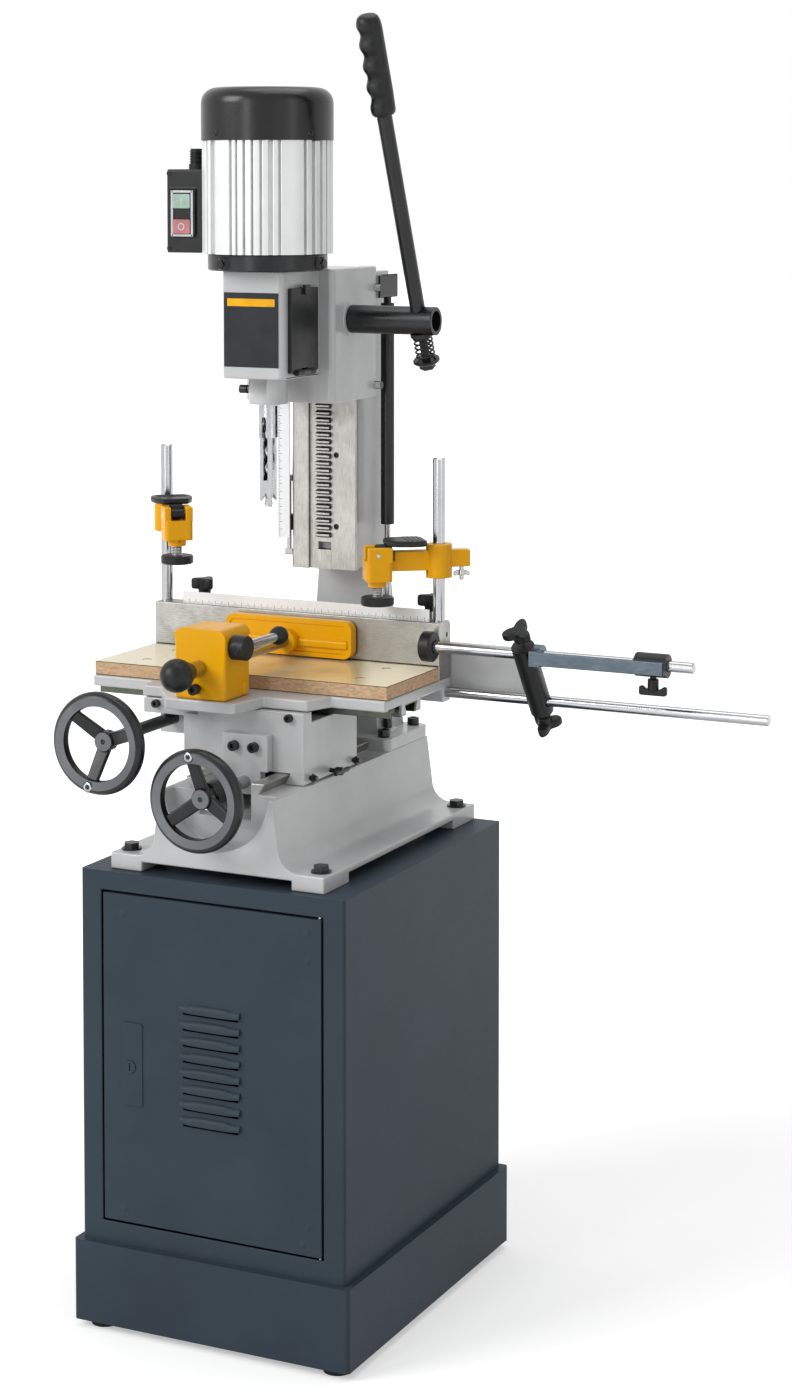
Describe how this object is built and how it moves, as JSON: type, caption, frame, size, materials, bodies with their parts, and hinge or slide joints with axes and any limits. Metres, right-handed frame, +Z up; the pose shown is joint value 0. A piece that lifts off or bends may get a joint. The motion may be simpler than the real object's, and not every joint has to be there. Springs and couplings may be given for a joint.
{
  "type": "hollow-chisel mortiser on cabinet stand",
  "caption": "Floor-standing hollow-chisel mortiser with lever-fed head, cross-slide table, fence, work clamp, hold-downs and length stop on a steel cabinet.",
  "frame": {"origin": "on the floor, midway between the four floor bolt holes of the cabinet's feet", "axes": "+X to the operator's right, +Y from the operator to the back, +Z up"},
  "size_m": [0.8853, 0.5209, 1.6485],
  "materials": {
    "rubber": "matt moulded rubber",
    "dark_paint": "semi-gloss blue-grey powder coat on sheet steel",
    "grey_paint": "light grey hammer-smooth enamel on cast iron",
    "yellow_paint": "glossy yellow enamel on castings",
    "black_plastic": "moulded black plastic",
    "green_plastic": "moulded green plastic",
    "red_plastic": "moulded red plastic",
    "black_steel": "blackened steel",
    "bright_steel": "ground and bright-plated steel",
    "tool_steel": "ground tool steel",
    "cast_iron": "ground grey iron",
    "aluminium": "die-cast aluminium with cooling fins",
    "laminate_board": "cream laminate on chipboard",
    "white_enamel": "white printed strip"
  },
  "bodies": {
    "stand": {"cabinet_feet": "rubber", "cabinet_plinth": "dark_paint", "cabinet_shell": "dark_paint", "door_pivots": "bright_steel", "base_casting": "grey_paint", "machine_bolts": "black_steel", "column": "grey_paint", "feed_rack": "black_steel", "gas_rod": "bright_steel"},
    "door": {"cabinet_door": "dark_paint"},
    "latch": {"door_latch": "bright_steel"},
    "depth_stop": {"depth_stop": "black_steel"},
    "saddle": {"saddle": "grey_paint", "bearing_plate": "grey_paint"},
    "saddle_lock": {"saddle_lock": "black_steel"},
    "front_wheel": {"cross_screw": "bright_steel", "front_handwheel": "black_plastic"},
    "side_wheel": {"table_pinion": "bright_steel", "side_handwheel": "black_plastic"},
    "table": {"table_casting": "grey_paint", "table_board": "laminate_board", "table_rack": "bright_steel", "table_screws": "black_steel", "fence": "cast_iron", "fence_scale": "white_enamel", "hold_down_posts": "bright_steel", "clamp_block": "yellow_paint", "stop_bar": "bright_steel"},
    "fence_knob_left": {"fence_knob_left": "black_plastic"},
    "fence_knob_right": {"fence_knob_right": "black_plastic"},
    "plunger": {"plunger_rod": "bright_steel", "press_plate": "yellow_paint"},
    "cam_lever": {"cam_lever": "black_steel"},
    "stop_post": {"stop_post": "black_steel"},
    "post_knob_top": {"post_knob_top": "black_plastic"},
    "post_knob_low": {"post_knob_low": "black_plastic"},
    "stop_rod": {"stop_rod": "bright_steel"},
    "sleeve_screw": {"sleeve_screw": "black_plastic"},
    "head": {"head_casting": "grey_paint", "motor_body": "aluminium", "fan_cover": "black_steel", "switch_box": "black_plastic", "chisel": "tool_steel", "gas_cylinder": "black_steel", "depth_scale": "white_enamel"},
    "start_button": {"start_button": "green_plastic"},
    "stop_button": {"stop_button": "red_plastic"},
    "chuck_cover": {"chuck_cover": "black_steel"},
    "spindle": {"spindle": "bright_steel"},
    "lever": {"lever_shaft": "black_steel", "lever_rod": "black_steel", "lever_spring": "black_steel"},
    "hold_arm_left": {"hold_arm_left": "yellow_paint"},
    "cam_handle_left": {"cam_handle_left": "black_plastic"},
    "hold_pad_left": {"hold_pad_left": "black_plastic"},
    "wing_screw_left": {"wing_screw_left": "bright_steel"},
    "hold_arm_right": {"hold_arm_right": "yellow_paint"},
    "cam_handle_right": {"cam_handle_right": "black_plastic"},
    "hold_pad_right": {"hold_pad_right": "black_plastic"},
    "wing_screw_right": {"wing_screw_right": "bright_steel"}
  },
  "joints": [
    {"name": "door_swing", "type": "hinge", "parent": "stand", "child": "door", "pos_m": [0.149, -0.224, 0.35], "axis": [0, 0, 1], "range_deg": [0, 95]},
    {"name": "latch_turn", "type": "hinge", "parent": "door", "child": "latch", "pos_m": [-0.114, -0.22, 0.342], "axis": [0, 1, 0], "range_deg": [0, 90]},
    {"name": "depth_stop_slide", "type": "slide", "parent": "stand", "child": "depth_stop", "axis": [0, 0, 1], "range_m": [-0.022, 0.04]},
    {"name": "saddle_slide", "type": "slide", "parent": "stand", "child": "saddle", "axis": [0, 1, 0], "range_m": [-0.09, 0.005]},
    {"name": "saddle_lock_turn", "type": "hinge", "parent": "saddle", "child": "saddle_lock", "pos_m": [0.09, -0.055, 0.699], "axis": [1, 0, 0], "range_deg": [0, 180]},
    {"name": "front_wheel_turn", "type": "hinge", "parent": "saddle", "child": "front_wheel", "pos_m": [0, -0.261, 0.694], "axis": [0, 1, 0], "continuous": true},
    {"name": "table_slide", "type": "slide", "parent": "saddle", "child": "table", "axis": [1, 0, 0], "range_m": [-0.035, 0.09]},
    {"name": "side_wheel_turn", "type": "hinge", "parent": "saddle", "child": "side_wheel", "pos_m": [-0.131, -0.272, 0.755], "axis": [0, 1, 0], "continuous": true},
    {"name": "fence_knob_left_turn", "type": "hinge", "parent": "table", "child": "fence_knob_left", "pos_m": [-0.205, 0.118, 0.893], "axis": [0, 0, 1], "continuous": true},
    {"name": "fence_knob_right_turn", "type": "hinge", "parent": "table", "child": "fence_knob_right", "pos_m": [0.135, 0.118, 0.893], "axis": [0, 0, 1], "continuous": true},
    {"name": "plunger_slide", "type": "slide", "parent": "table", "child": "plunger", "axis": [0, 1, 0], "range_m": [-0.09, 0]},
    {"name": "cam_lever_turn", "type": "hinge", "parent": "table", "child": "cam_lever", "pos_m": [0, -0.151, 0.864], "axis": [1, 0, 0], "range_deg": [0, 100]},
    {"name": "stop_post_slide", "type": "slide", "parent": "table", "child": "stop_post", "axis": [1, 0, 0], "range_m": [0, 0.2]},
    {"name": "stop_rod_slide", "type": "slide", "parent": "stop_post", "child": "stop_rod", "axis": [1, 0, 0], "range_m": [-0.06, 0.1]},
    {"name": "sleeve_screw_turn", "type": "hinge", "parent": "stop_post", "child": "sleeve_screw", "pos_m": [0.468, 0.0548, 0.815], "axis": [0, 0, 1], "continuous": true},
    {"name": "head_slide", "type": "slide", "parent": "stand", "child": "head", "axis": [0, 0, -1], "range_m": [0, 0.1]},
    {"name": "lever_turn", "type": "hinge", "parent": "head", "child": "lever", "pos_m": [0.1, 0.024, 1.266], "axis": [1, 0, 0], "range_deg": [0, 119.5]},
    {"name": "spindle_turn", "type": "hinge", "parent": "head", "child": "spindle", "pos_m": [0, -0.077, 1.3], "axis": [0, 0, 1], "continuous": true},
    {"name": "chuck_cover_turn", "type": "hinge", "parent": "head", "child": "chuck_cover", "pos_m": [0.0493, -0.071, 1.204], "axis": [0, 1, 0], "range_deg": [0, 80]},
    {"name": "start_button_press", "type": "slide", "parent": "head", "child": "start_button", "axis": [0, 1, 0], "range_m": [0, 0.003], "stiffness_N_per_m": 400},
    {"name": "stop_button_press", "type": "slide", "parent": "head", "child": "stop_button", "axis": [0, 1, 0], "range_m": [0, 0.003], "stiffness_N_per_m": 400},
    {"name": "post_knob_top_turn", "type": "hinge", "parent": "stop_post", "child": "post_knob_top", "pos_m": [0.296, 0.0435, 0.86251], "axis": [0, -0.565, 0.8251], "continuous": true},
    {"name": "post_knob_low_turn", "type": "hinge", "parent": "stop_post", "child": "post_knob_low", "pos_m": [0.296, 0.11695, 0.75525], "axis": [0, -0.565, 0.8251], "continuous": true},
    {"name": "hold_arm_left_slide", "type": "slide", "parent": "table", "child": "hold_arm_left", "axis": [0, 0, 1], "range_m": [-0.06, 0.07]},
    {"name": "cam_handle_left_turn", "type": "hinge", "parent": "hold_arm_left", "child": "cam_handle_left", "pos_m": [-0.19665, 0.03142, 1], "axis": [0.766, 0.6428, 0], "range_deg": [0, 80]},
    {"name": "hold_pad_left_slide", "type": "slide", "parent": "hold_arm_left", "child": "hold_pad_left", "axis": [0, 0, 1], "range_m": [0, 0.0021]},
    {"name": "wing_screw_left_turn", "type": "hinge", "parent": "hold_arm_left", "child": "wing_screw_left", "pos_m": [-0.26928, 0.11798, 0.973], "axis": [0, 0, 1], "continuous": true},
    {"name": "hold_arm_right_slide", "type": "slide", "parent": "table", "child": "hold_arm_right", "axis": [0, 0, 1], "range_m": [-0.025, 0.1]},
    {"name": "cam_handle_right_turn", "type": "hinge", "parent": "hold_arm_right", "child": "cam_handle_right", "pos_m": [0.09071, 0.04505, 0.962], "axis": [0.6018, -0.7986, 0], "range_deg": [0, 80]},
    {"name": "hold_pad_right_slide", "type": "slide", "parent": "hold_arm_right", "child": "hold_pad_right", "axis": [0, 0, 1], "range_m": [0, 0.0021]},
    {"name": "wing_screw_right_turn", "type": "hinge", "parent": "hold_arm_right", "child": "wing_screw_right", "pos_m": [0.18096, 0.11305, 0.935], "axis": [0, 0, 1], "continuous": true}
  ],
  "couplings": [
    {"joint": "front_wheel_turn", "follows": "saddle_slide", "rad_per_m": 1256.6},
    {"joint": "side_wheel_turn", "follows": "table_slide", "rad_per_m": 50},
    {"joint": "lever_turn", "follows": "head_slide", "rad_per_m": 20.833},
    {"joint": "hold_pad_left_slide", "follows": "cam_handle_left_turn", "m_per_rad": 0.0015},
    {"joint": "hold_pad_right_slide", "follows": "cam_handle_right_turn", "m_per_rad": 0.0015}
  ]
}
